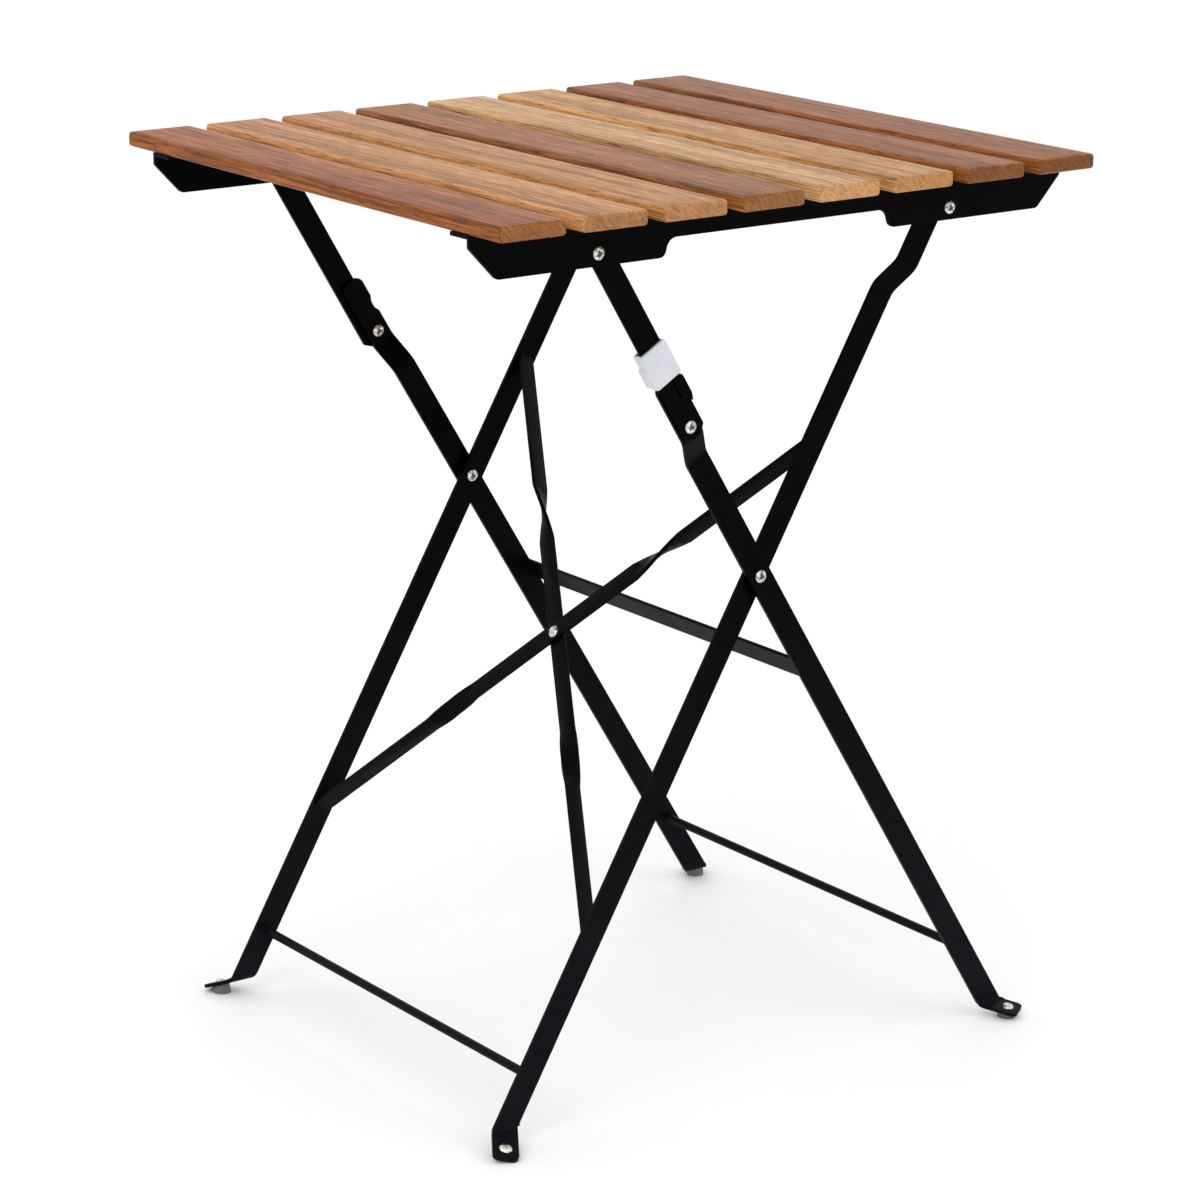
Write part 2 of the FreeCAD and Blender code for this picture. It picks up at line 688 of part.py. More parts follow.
def tab_waist():
    """Shallow scoop out of the far tab's +Y edge, between its lug and the knee."""
    low = dim("waist_low")
    high = dim("far_lug_low")
    floor = HALF_STRAP - dim("waist_depth")
    soft = dim("waist_radius")
    return plate([(HALF_STRAP + 1, low, 0), (floor, (2 * low + high) / 3, soft),
                  (floor, (low + 2 * high) / 3, soft), (HALF_STRAP + 1, high, 0)], SIDE_LOW, SIDE_HIGH)


def make_outer_leg(name, side):
    """Outer leg: knee tab with its stop lug, a step inwards below the knee, then down to the foot."""
    tab_length = dim(name + "_tab_length")
    strap = joggled_strap(dim("knee_across"), dim("outer_leg_across"), tab_length,
                          -dim("outer_joggle_start"), -dim("outer_joggle_end"), -FAR_OUT)
    strap = strap.common(strap_silhouette(-FAR_OUT, tab_length, dim("tab_corner_radius")))
    if name == "far":
        strap = strap.cut(tab_waist())
    strap = strap.fuse(knee_lug(name)).removeSplitter()
    strap = cut_pin(strap, 0, 0, dim("pin_radius") + dim("running_gap"))
    strap = cut_pin(strap, 0, -KNEE_REACH, dim("pin_radius"))
    make_leg("outer", name, side, KNEE, OUTER_LEAN, strap)


def make_knee_rivet(name, side):
    pin = rivet(dim("knee_across") - STEEL - GAP, dim("link_across"), dim("pin_radius"))
    add_shape("knee_rivet_" + name, mirror_if(pin, side), placed(KNEE))


def make_crossing(name, side):
    """Scissor pivot: outer rivet half in the outer leg, washer and inner half in the inner leg."""
    outer_inner_face = dim("outer_leg_across") - STEEL
    inner_outer_face = dim("inner_leg_across")
    outer_half = rivet(outer_inner_face, dim("outer_leg_across"), dim("pin_radius"), inner_head=False)
    add_shape("scissor_rivet_" + name, mirror_if(outer_half, side), placed(CROSSING))
    inner_half = rivet(inner_outer_face - STEEL, inner_outer_face, dim("pin_radius"), outer_head=False)
    add_shape("scissor_rivet_end_" + name, mirror_if(inner_half, side), placed(CROSSING))
    disc = rod_along_x(dim("washer_radius"), inner_outer_face, outer_inner_face - 2 * GAP)
    add_shape("scissor_washer_" + name, mirror_if(disc, side), placed(CROSSING))


# ---------------------------------------------------------------- cross members


def make_brace(label, direction):
    """Flat diagonal brace, flat where it crosses the other and turned on edge at the legs."""
    reach = dim("inner_leg_across") - STEEL
    mid_drop = (dim("brace_low") + dim("brace_high")) / 2
    rise = (dim("brace_low") - dim("brace_high")) / 2
    slope = math.atan2(rise, reach)
    stretch = 1 / math.cos(slope)
    half = dim("brace_width") / 2
    inner = dim("brace_twist_inner") * stretch
    outer = dim("brace_twist_outer") * stretch
    layer = direction * (STEEL / 2 + dim("brace_gap"))

    def section(x, turn, offset):
        """Rectangle across the brace at x, turned about the brace's own line."""
        points = []
        for a, b in ((-half, -STEEL / 2), (half, -STEEL / 2), (half, STEEL / 2), (-half, STEEL / 2)):
            across = a * math.cos(turn) - b * math.sin(turn)
            through = a * math.sin(turn) + b * math.cos(turn)
            points.append(V(x, through + offset, across))
        return Part.makePolygon(points + points[:1])

    steps = 6
    end = reach * stretch + dim("brace_width")
    pieces = [Part.makeLoft([section(-inner, 0, layer), section(inner, 0, layer)], True, True)]
    for side in (-1, 1):
        twist = []
        for i in range(steps + 1):
            part_way = i / steps
            x = side * (inner + (outer - inner) * part_way)
            twist.append(section(x, side * part_way * math.pi / 2, layer * (1 - part_way)))
        pieces.append(Part.makeLoft(twist, True, True))
        pieces.append(Part.makeLoft([section(side * outer, math.pi / 2, 0),
                                     section(side * end, math.pi / 2, 0)], True, True))
    bar = pieces[0]
    for piece in pieces[1:]:
        bar = bar.fuse(piece)
    bar.rotate(V(0, 0, 0), AXIS_Y, direction * math.degrees(slope))
    bar.translate(V(0, 0, -mid_drop))
    between = Part.makeBox(2 * reach, 2 * HALF_STRAP, FAR_OUT, V(-reach, -HALF_STRAP, -FAR_OUT))
    hole = Part.makeCylinder(dim("pin_radius"), 4 * STEEL, V(0, -2 * STEEL, -mid_drop), AXIS_Y)
    add_shape(label, bar.common(between).cut(hole), INNER_FRAME)
    return mid_drop


def make_brace_rivet(drop):
    """Rivet through the two braces where they cross."""
    face = STEEL + dim("brace_gap")
    pin = rivet(-face, face, dim("pin_radius"))
    pin.rotate(V(0, 0, 0), AXIS_Z, 90)
    pin.translate(V(0, 0, -drop))
    add_shape("brace_rivet", pin, INNER_FRAME)


def make_rod(label, frame, reach, half_span):
    """Round tie rod welded between a pair of legs."""
    add_shape(label, rod_along_x(dim("rod_radius"), -half_span, half_span, 0, -reach), frame)


def make_crossbar():
    """Flat bar between the outer legs, flush with their +Y edges, above the feet."""
    half_span = dim("outer_leg_across") - STEEL
    bar = doc.addObject("Part::Box", "outer_crossbar")
    bar.Label = "outer_crossbar"
    bar.setExpression("Length", "2 * (dims.outer_leg_across - dims.steel)")
    bar.setExpression("Width", "dims.steel")
    bar.setExpression("Height", "dims.crossbar_width")
    corner = V(-half_span, dim("crossbar_offset") - STEEL / 2,
               -dim("crossbar_reach") - dim("crossbar_width") / 2)
    bar.Placement = OUTER_FRAME.multiply(FreeCAD.Placement(corner, FreeCAD.Rotation()))
    SUBPARTS.append(bar)


# ---------------------------------------------------------------- assembly

for number, slat_y in enumerate(slat_positions(), start=1):
    make_slat(number, slat_y)
make_rail("rail_near", 0)
make_rail("rail_far", 180)
for side_name, side_sign in (("near", 1), ("far", -1)):
    make_screws("slat_screws_" + side_name, side_sign)
    make_top_pivots(side_name, side_sign)
    make_link(side_name, side_sign)
    make_knee_rivet(side_name, side_sign)
    make_inner_leg(side_name, side_sign)
    make_outer_leg(side_name, side_sign)
    make_crossing(side_name, side_sign)
make_sleeve()
brace_drop = make_brace("brace_rising", 1)
make_brace("brace_falling", -1)
make_brace_rivet(brace_drop)
make_rod("inner_rod", INNER_FRAME, dim("inner_rod_reach"), dim("inner_leg_across") - STEEL)
make_rod("outer_rod", OUTER_FRAME, dim("outer_rod_reach"), dim("outer_leg_across") - STEEL)
make_crossbar()

doc.recompute()
for item in doc.Objects:
    if "Invalid" in item.State or "Error" in item.State:
        raise RuntimeError("%s failed: %s" % (item.Label, item.State))
for part in SUBPARTS:
    if part.Shape.isNull() or not part.Shape.isValid():
        raise RuntimeError("%s has no valid shape" % part.Label)

os.makedirs("parts", exist_ok=True)
for part in SUBPARTS:
    part.Shape.exportStep(os.path.join("parts", part.Label + ".step"))

print("pivots: link %s leg %s crossing %s knee %s" % (LINK_PIVOT, LEG_PIVOT, CROSSING, KNEE))
print("%d sub-parts written" % len(SUBPARTS))
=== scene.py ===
import json
import math

import bmesh
import bpy
import numpy as np
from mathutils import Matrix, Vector

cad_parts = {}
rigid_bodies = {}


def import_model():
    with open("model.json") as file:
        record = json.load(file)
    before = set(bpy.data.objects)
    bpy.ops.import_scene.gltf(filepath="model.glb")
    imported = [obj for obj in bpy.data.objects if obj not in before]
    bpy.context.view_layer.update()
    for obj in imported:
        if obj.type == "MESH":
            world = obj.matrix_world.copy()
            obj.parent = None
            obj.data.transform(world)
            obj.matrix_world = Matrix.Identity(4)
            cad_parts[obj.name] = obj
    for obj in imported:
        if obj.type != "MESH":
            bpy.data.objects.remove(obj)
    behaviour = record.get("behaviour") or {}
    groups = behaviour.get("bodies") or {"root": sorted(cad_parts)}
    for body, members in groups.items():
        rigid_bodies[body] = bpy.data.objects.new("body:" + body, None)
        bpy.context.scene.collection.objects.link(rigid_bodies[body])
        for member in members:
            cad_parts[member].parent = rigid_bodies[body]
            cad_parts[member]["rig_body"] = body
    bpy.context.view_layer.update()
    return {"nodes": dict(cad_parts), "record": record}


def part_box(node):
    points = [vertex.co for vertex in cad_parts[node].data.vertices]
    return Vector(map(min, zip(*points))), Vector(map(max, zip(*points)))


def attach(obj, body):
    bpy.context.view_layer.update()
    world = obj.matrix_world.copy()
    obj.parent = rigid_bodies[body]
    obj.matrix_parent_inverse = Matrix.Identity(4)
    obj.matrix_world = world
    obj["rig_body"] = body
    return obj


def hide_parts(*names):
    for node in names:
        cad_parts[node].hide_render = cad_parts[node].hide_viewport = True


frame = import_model()

MM = 0.001
SIDES = (("near", 1), ("far", -1))
NODES = frame["nodes"]
JOINTS = {joint["name"]: joint for joint in frame["record"]["behaviour"]["joints"]}

# Sizes of the looks, in metres
ARRIS = 0.45 * MM  # rounding along the edges of the steel straps
FASTENER_ARRIS = 0.3 * MM
SLEEVE_ARRIS = 0.6 * MM
GLIDE_ARRIS = 0.6 * MM
SLAT_EDGE = 2.6 * MM  # rounding round the ends and along the edges of a slat
SLAT_WAVER = 0.12 * MM
SLAT_COUNT = 8
WELD_RADIUS = 1.3 * MM
ROD_WELD_RADIUS = 1.1 * MM
WELD_RIPPLE = 1.7 * MM  # spacing of the ripples along a weld
SHANK_RADIUS = 3.0 * MM


# ---------------------------------------------------------------- mesh helpers


def finish_mesh(name, points, faces, crease=35):
    """New piece from points and faces, smooth apart from creases sharper than the given angle."""
    mesh = bpy.data.meshes.new(name)
    mesh.from_pydata(np.asarray(points, float).reshape(-1, 3).tolist(), [], faces)
    mesh.validate()
    mesh.polygons.foreach_set("use_smooth", np.ones(len(mesh.polygons), bool))
    mesh.set_sharp_from_angle(angle=math.radians(crease))
    piece = bpy.data.objects.new(name, mesh)
    bpy.context.scene.collection.objects.link(piece)
    return piece


def skin(name, rings, crease=35):
    """Closed skin over rings (count, around, 3): neighbours joined by quads, flat at both ends.

    Each ring runs anticlockwise as seen from the last ring, so the faces point outwards."""
    faces = ring_faces(rings.shape[0], rings.shape[1], 0)
    return finish_mesh(name, rings, faces, crease)


def ring_faces(count, around, first):
    """Quads between neighbouring rings and one cap at each end; point numbers start at first."""
    grid = first + np.arange(count * around).reshape(count, around)
    ahead = np.roll(grid, -1, axis=1)
    quads = np.stack([grid[:-1], ahead[:-1], ahead[1:], grid[1:]], axis=-1).reshape(-1, 4)
    return quads.tolist() + [grid[0][::-1].tolist(), grid[-1].tolist()]


def rounded_section(width, height, radius, steps=4):
    """Loop (n, 2) of a rectangle with round corners, each a quarter circle about its own centre."""
    turn = np.arange(4)[:, None] * math.pi / 2 + np.linspace(0, math.pi / 2, steps + 1)
    side = np.array([1, -1, -1, 1])[:, None] * (width / 2 - radius)
    rise = np.array([1, 1, -1, -1])[:, None] * (height / 2 - radius)
    loop = np.stack([side + radius * np.cos(turn), rise + radius * np.sin(turn)], axis=-1)
    return loop.reshape(-1, 2)


def carried(path, loops, side, rise):
    """Rings of loops carried along a path: point + a * side + b * rise for every (a, b) of the loop."""
    return path[:, None] + loops[..., :1] * side[:, None] + loops[..., 1:] * rise[:, None]


def middle(node):
    low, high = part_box(node)
    return np.array((low + high) / 2)


def dress(piece, node, finish, replaces=True):
    """Lets a piece ride with a CAD node's body and gives it its finish."""
    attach(piece, NODES[node]["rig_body"])
    if replaces:
        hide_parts(node)
    piece.data.materials.clear()
    piece.data.materials.append(finish)


def eased_copy(node, radius, segments=2):
    """Merged copy of a CAD solid with its arrises rounded by a bevel."""
    same_point = 0.005 * MM
    flat = math.radians(0.6)
    arris_angle = math.radians(40)
    mesh = NODES[node].data.copy()
    work = bmesh.new()
    work.from_mesh(mesh)
    bmesh.ops.remove_doubles(work, verts=work.verts, dist=same_point)
    bmesh.ops.dissolve_limit(work, angle_limit=flat, verts=work.verts, edges=work.edges)
    work.to_mesh(mesh)
    work.free()
    mesh.polygons.foreach_set("use_smooth", np.ones(len(mesh.polygons), bool))
    mesh.set_sharp_from_angle(angle=arris_angle)
    piece = bpy.data.objects.new("eased_" + node, mesh)
    bpy.context.scene.collection.objects.link(piece)
    bevel = piece.modifiers.new("arris", "BEVEL")
    bevel.width = radius
    bevel.segments = segments
    bevel.limit_method = "ANGLE"
    bevel.angle_limit = arris_angle
    return piece


# ---------------------------------------------------------------- node helpers


def add(tree, kind, settings=(), sockets=()):
    """New shader node: its settings, and each socket given a constant or linked from an output."""
    node = tree.nodes.new("ShaderNode" + kind)
    for key, value in dict(settings).items():
        setattr(node, key, value)
    for key, value in dict(sockets).items():
        if isinstance(value, bpy.types.NodeSocket):
            tree.links.new(value, node.inputs[key])
        else:
            node.inputs[key].default_value = value
    return node


def calc(tree, operation, a, b=0.0):
    return add(tree, "Math", {"operation": operation}, {0: a, 1: b}).outputs[0]


def spread(tree, value, low, high, to_low=0.0, to_high=1.0):
    """Value between low and high, carried to to_low and to_high and held at both ends."""
    sockets = {"Value": value, "From Min": low, "From Max": high, "To Min": to_low, "To Max": to_high}
    return add(tree, "MapRange", {"clamp": True}, sockets).outputs[0]


def stretched(tree, vector, scale):
    return add(tree, "VectorMath", {"operation": "MULTIPLY"}, {0: vector, 1: scale}).outputs[0]


def noise(tree, vector, scale, detail=3.0, roughness=0.55):
    sockets = {"Vector": vector, "Scale": scale, "Detail": detail, "Roughness": roughness}
    return add(tree, "TexNoise", {}, sockets).outputs[0]


def mixed(tree, mask, a, b):
    return add(tree, "Mix", {"data_type": "RGBA"}, {0: mask, 6: a, 7: b}).outputs[2]


def effect(name, inputs, outputs):
    """Empty shader group with named sockets; returns the group with its input and output nodes."""
    group = bpy.data.node_groups.new(name, "ShaderNodeTree")
    for label, kind, value in inputs:
        socket = group.interface.new_socket(label, in_out="INPUT", socket_type="NodeSocket" + kind)
        socket.default_value = value
    for label, kind in outputs:
        group.interface.new_socket(label, in_out="OUTPUT", socket_type="NodeSocket" + kind)
    return group, group.nodes.new("NodeGroupInput"), group.nodes.new("NodeGroupOutput")


def placed_effect(tree, group, sockets):
    return add(tree, "Group", {"node_tree": group}, sockets).outputs


def new_finish(name):
    """Empty material: returns it with its tree, its shader and the object coordinates."""
    material = bpy.data.materials.new(name)
    material.use_nodes = True
    tree = material.node_tree
    shader = tree.nodes["Principled BSDF"]
    place = tree.nodes.new("ShaderNodeTexCoord").outputs["Object"]
    return material, tree, shader, place


def scaled(colour, factor):
    """Colour with red, green and blue multiplied by one factor."""
    return tuple(factor * level for level in colour[:3]) + (1.0,)


def bumped(tree, shader, height, strength, distance):
    bump = add(tree, "Bump", {}, {"Height": height, "Strength": strength, "Distance": distance})
    tree.links.new(bump.outputs[0], shader.inputs["Normal"])


def tint(red, green, blue):
    """Display colour from 0 to 255 as a linear colour, by the two-part sRGB curve."""
    level = np.array([red, green, blue]) / 255
    return (*np.where(level <= 0.04045, level / 12.92, ((level + 0.055) / 1.055) ** 2.4), 1.0)


# ---------------------------------------------------------------- shared effects


def make_timber_effect():
    """Figure of sawn hardwood along X: growth rings about a pith, fibres, pores and slow tone bands.

    Cells are noise cells per metre along X, Y and Z, few along the board and many across it."""
    sway_cells = (2.2, 9, 9)
    sway_reach = (0, 0.016, 0.016)
    wander_cells = (6, 120, 120)
    wander_turns = 1.4
    fibre_cells = (11, 420, 420)
    pore_cells = (42, 1050, 1050)
    tone_cells = (1.6, 70, 70)
    given_sockets = [("Vector", "Vector", (0, 0, 0)), ("Pith", "Vector", (0, 0, 0)),
                     ("Rings per metre", "Float", 600)]
    made = ("Rings", "Fibre", "Pores", "Tone", "Height")
    group, given, out = effect("timber_figure", given_sockets, [(label, "Float") for label in made])
    vector = given.outputs["Vector"]
    sway = add(group, "TexNoise", {}, {"Vector": stretched(group, vector, sway_cells), "Scale": 1.0,
                                       "Detail": 2.0, "Roughness": 0.5}).outputs["Color"]
    sway = add(group, "VectorMath", {"operation": "MULTIPLY_ADD"},
               {0: sway, 1: sway_reach, 2: vector}).outputs[0]
    from_pith = add(group, "VectorMath", {"operation": "SUBTRACT"}, {0: sway, 1: given.outputs["Pith"]})
    radial = stretched(group, from_pith.outputs[0], (0, 1, 1))
    reach = add(group, "VectorMath", {"operation": "LENGTH"}, {0: radial}).outputs["Value"]
    turns = calc(group, "MULTIPLY", reach, given.outputs["Rings per metre"])
    wander = noise(group, stretched(group, vector, wander_cells), 1.0, 3, 0.6)
    turns = calc(group, "ADD", turns, calc(group, "MULTIPLY", wander, wander_turns))
    share_of_ring = calc(group, "FRACT", turns)
    late = spread(group, share_of_ring, 0.55, 0.95)
    early = spread(group, share_of_ring, 0.0, 0.12, 1.0, 0.0)
    rings = calc(group, "MAXIMUM", late, early)
    fibre = spread(group, noise(group, stretched(group, sway, fibre_cells), 1.0, 7, 0.72), 0.36, 0.66)
    pores = spread(group, noise(group, stretched(group, sway, pore_cells), 1.0, 3, 0.6), 0.53, 0.64)
    tone = spread(group, noise(group, stretched(group, sway, tone_cells), 1.0, 4, 0.55), 0.36, 0.66)
    height = calc(group, "SUBTRACT", calc(group, "MULTIPLY", fibre, 0.5), pores)
    for label, value in zip(made, (rings, fibre, pores, tone, height)):
        group.links.new(value, out.inputs[label])
    return group


def make_coat_effect():
    """Skin of a baked coat: orange peel, slow gloss patches, and specks of dust."""
    gloss_per_metre = 38
    given_sockets = [("Vector", "Vector", (0, 0, 0)), ("Peel per metre", "Float", 900),
                     ("Specks per metre", "Float", 420)]
    made = ("Peel", "Gloss", "Specks")
    group, given, out = effect("coat_skin", given_sockets, [(label, "Float") for label in made])
    vector = given.outputs["Vector"]
    peel = noise(group, vector, given.outputs["Peel per metre"], 2, 0.5)
    gloss = spread(group, noise(group, vector, gloss_per_metre, 4, 0.6), 0.3, 0.72)
    specks = spread(group, noise(group, vector, given.outputs["Specks per metre"], 4, 0.7), 0.66, 0.78)
    for label, value in zip(made, (peel, gloss, specks)):
        group.links.new(value, out.inputs[label])
    return group


TIMBER = make_timber_effect()
COAT = make_coat_effect()


# ---------------------------------------------------------------- finishes


def oiled_hardwood(name, dark, light, end, pith, shift, rings):
    """Oiled slat: figure between a dark and a light colour, with slanting flecks on the sawn ends."""
    fibre_share = 0.68
    tone_share = 0.5
    ring_share = -0.3
    least_share = 0.02
    pore_depth = 0.75
    fleck_slant = 0.8
    fleck_cells = (40, 130, 760)
    material, tree, shader, place = new_finish(name)
    moved = add(tree, "VectorMath", {"operation": "ADD"}, {0: place, 1: shift}).outputs[0]
    figure = placed_effect(tree, TIMBER, {"Vector": moved, "Pith": pith, "Rings per metre": rings})
    share = calc(tree, "MULTIPLY", figure["Fibre"], fibre_share)
    share = calc(tree, "ADD", share, calc(tree, "MULTIPLY", figure["Tone"], tone_share))
    share = calc(tree, "ADD", share, calc(tree, "MULTIPLY", figure["Rings"], ring_share))
    share = calc(tree, "ADD", share, least_share)
    colour = mixed(tree, share, dark, light)
    colour = mixed(tree, calc(tree, "MULTIPLY", figure["Pores"], pore_depth), colour, scaled(dark, 0.4))
    facing = add(tree, "SeparateXYZ", {}, {0: tree.nodes["Texture Coordinate"].outputs["Normal"]})
    sawn = spread(tree, calc(tree, "ABSOLUTE", facing.outputs[0]), 0.6, 0.9)
    slanted = add(tree, "VectorRotate", {"rotation_type": "X_AXIS"}, {"Vector": moved, "Angle": fleck_slant})
    flecks = noise(tree, stretched(tree, slanted.outputs[0], fleck_cells), 1.0, 6, 0.75)
    worn = calc(tree, "MAXIMUM", calc(tree, "MULTIPLY", figure["Rings"], 0.35),
                calc(tree, "MULTIPLY", spread(tree, flecks, 0.42, 0.6), 0.85))
    end_colour = mixed(tree, worn, scaled(end, 1.12), scaled(end, 0.42))
    colour = mixed(tree, calc(tree, "MULTIPLY", sawn, 0.8), colour, end_colour)
    tree.links.new(colour, shader.inputs["Base Color"])
    tree.links.new(spread(tree, figure["Fibre"], 0, 1, 0.5, 0.36), shader.inputs["Roughness"])
    bumped(tree, shader, figure["Height"], 0.5, 0.0003)
    shader.inputs["Specular IOR Level"].default_value = 0.15
    return material


def powder_black():
    """Black powder coat on steel, with a painted reflection of the bright floor: a little greyer towards the
    floor.
    """
    coat_low = (0.0001, 0.0001, 0.0003, 1)
    coat_high = (0.0005, 0.0005, 0.0009, 1)
    # painted reflection of the bright floor: the coat's colour turns lighter towards the bottom
    sheen_low = (0.0040, 0.0042, 0.0060, 1)
    sheen_high = (0.0068, 0.0072, 0.0096, 1)
    speck = (0.012, 0.012, 0.013, 1)
    sheen_full = 0.02
    sheen_none = 0.42
    material, tree, shader, place = new_finish("powder_black")
    coat = placed_effect(tree, COAT, {"Vector": place})
    plain_coat = mixed(tree, coat["Gloss"], coat_low, coat_high)
    floor_sheen = mixed(tree, coat["Gloss"], sheen_low, sheen_high)
    height = add(tree, "SeparateXYZ", {}, {0: place}).outputs[2]
    # painted floor reflection, full near the floor and fading out higher up
    colour = mixed(tree, spread(tree, height, sheen_full, sheen_none, 1, 0), plain_coat, floor_sheen)
    colour = mixed(tree, calc(tree, "MULTIPLY", coat["Specks"], 0.35), colour, speck)
    tree.links.new(colour, shader.inputs["Base Color"])
    tree.links.new(spread(tree, coat["Gloss"], 0, 1, 0.3, 0.4), shader.inputs["Roughness"])
    bumped(tree, shader, coat["Peel"], 0.18, 0.00012)
    shader.inputs["Specular IOR Level"].default_value = 0.03
    return material


def bright_zinc(name, dimpled=False):
    """Zinc plating with painted light and dark reflections, and painted shade in the setting tool's dimple.
    """
    # painted reflections: dark and light colours that mottle the plating in place of a contrasty surrounding
    dark_reflection = (0.16, 0.16, 0.15, 1)
    light_reflection = (0.84, 0.83, 0.79, 1)
    spot = (0.06, 0.06, 0.055, 1)
    dimple_shade = (0.03, 0.03, 0.03, 1)
    material, tree, shader, place = new_finish(name)
    coat = placed_effect(tree, COAT, {"Vector": place, "Peel per metre": 520, "Specks per metre": 300})
    # painted reflections, mottled by the peel noise
    colour = mixed(tree, spread(tree, coat["Peel"], 0.32, 0.62), dark_reflection, light_reflection)
    colour = mixed(tree, calc(tree, "MULTIPLY", coat["Specks"], 0.8), colour, spot)
    if dimpled:
        mark = add(tree, "Attribute", {"attribute_name": "dimple"}).outputs["Fac"]
        # painted shade in the dimple, dark where the attribute dimple marks the recess
        colour = mixed(tree, spread(tree, mark, 0.05, 0.5, 0, 0.9), colour, dimple_shade)
    tree.links.new(colour, shader.inputs["Base Color"])
    tree.links.new(spread(tree, coat["Peel"], 0.3, 0.7, 0.2, 0.36), shader.inputs["Roughness"])
    bumped(tree, shader, coat["Peel"], 0.5, 0.0006)
    shader.inputs["Metallic"].default_value = 1.0
    return material


def moulding(name, pale, deep, rough_low, rough_high, grain):
    """Moulded plastic: faint mottling and a fine spark-eroded grain."""
    material, tree, shader, place = new_finish(name)
    coat = placed_effect(tree, COAT, {"Vector": place, "Peel per metre": grain, "Specks per metre": 600})
    colour = mixed(tree, coat["Gloss"], pale, deep)
    colour = mixed(tree, calc(tree, "MULTIPLY", coat["Specks"], 0.12), colour, scaled(deep, 0.6))
    tree.links.new(colour, shader.inputs["Base Color"])
    tree.links.new(spread(tree, coat["Gloss"], 0, 1, rough_low, rough_high), shader.inputs["Roughness"])
    bumped(tree, shader, coat["Peel"], 0.15, 0.00015)
    return material


STEEL = powder_black()
RIVET = bright_zinc("rivet_zinc", dimpled=True)
ZINC = bright_zinc("bright_zinc")
SLEEVE = moulding("sleeve_white", tint(203, 205, 211), tint(192, 195, 203), 0.38, 0.5, 1500)
GLIDE = moulding("glide_grey", tint(96, 97, 98), tint(74, 75, 77), 0.42, 0.58, 1100)

# One board after another: dark figure, light figure, sawn end, pith in Y and Z, rings per metre
BOARDS = (
    (tint(100, 49, 10), tint(188, 105, 35), tint(148, 97, 52), (0, -0.1, 0.78), 600),
    (tint(122, 75, 37), tint(214, 151, 93), tint(164, 112, 71), (0, 0.05, 0.60), 680),
    (tint(119, 73, 34), tint(213, 151, 91), tint(181, 128, 84), (0, 0.02, 0.81), 560),
    (tint(90, 46, 16), tint(178, 109, 50), tint(148, 99, 59), (0, 0.09, 0.64), 640),
    (tint(137, 93, 52), tint(225, 176, 122), tint(205, 149, 98), (0, -0.05, 0.62), 520),
    (tint(133, 87, 42), tint(226, 169, 106), tint(185, 132, 82), (0, 0.16, 0.80), 600),
    (tint(82, 40, 11), tint(173, 101, 42), tint(128, 77, 41), (0, 0.1, 0.62), 680),
    (tint(89, 44, 13), tint(175, 103, 42), tint(116, 72, 37), (0, 0.32, 0.78), 560),
)


# ---------------------------------------------------------------- table top


def slat_board(number, draw):
    """Board carried along X: a round-cornered section, drawn in over a quarter circle at both ends.

    Its edges waver by a sum of slow sines, as planed and sanded timber does."""
    node = "slat_%d" % number
    low, high = (np.array(corner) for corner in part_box(node))
    length, width, thick = high - low
    spans = 40
    ease = np.linspace(0, math.pi / 2, 6)
    run_in = SLAT_EDGE * (1 - np.cos(ease))
    draw_in = SLAT_EDGE * (1 - np.sin(ease))
    inset = np.concatenate([draw_in, np.zeros(spans), draw_in[::-1]])
    plain = np.linspace(SLAT_EDGE, length - SLAT_EDGE, spans + 2)[1:-1]
    along = np.concatenate([run_in, plain, length - run_in[::-1]])
    corner = SLAT_EDGE * 1.05
    least_corner = 0.1 * MM
    loops = np.stack([rounded_section(width - 2 * cut - 2 * SLAT_WAVER, thick - 2 * cut,
                                      max(corner - cut, least_corner)) for cut in inset])
    phase = draw.uniform(0, 2 * math.pi, 3)
    rates = (9, 23, 51)
    waver = SLAT_WAVER * sum(np.sin(along * rate + turn) for rate, turn in zip(rates, phase)) / len(rates)
    loops[..., 0] += waver[:, None]
    centre = (low + high) / 2
    path = np.stack([low[0] + along, np.full_like(along, centre[1]), np.full_like(along, centre[2])], -1)
    side = np.tile((0.0, 1.0, 0.0), (len(along), 1))
    rise = np.tile((0.0, 0.0, 1.0), (len(along), 1))
    piece = skin("board_%d" % number, carried(path, loops, side, rise))
    dark, light, end, pith, rings = BOARDS[number - 1]
    finish = oiled_hardwood("oiled_hardwood_%d" % number, dark, light, end, pith,
                            (float(draw.uniform(-3, 3)), 0, 0), rings)
    dress(piece, node, finish)


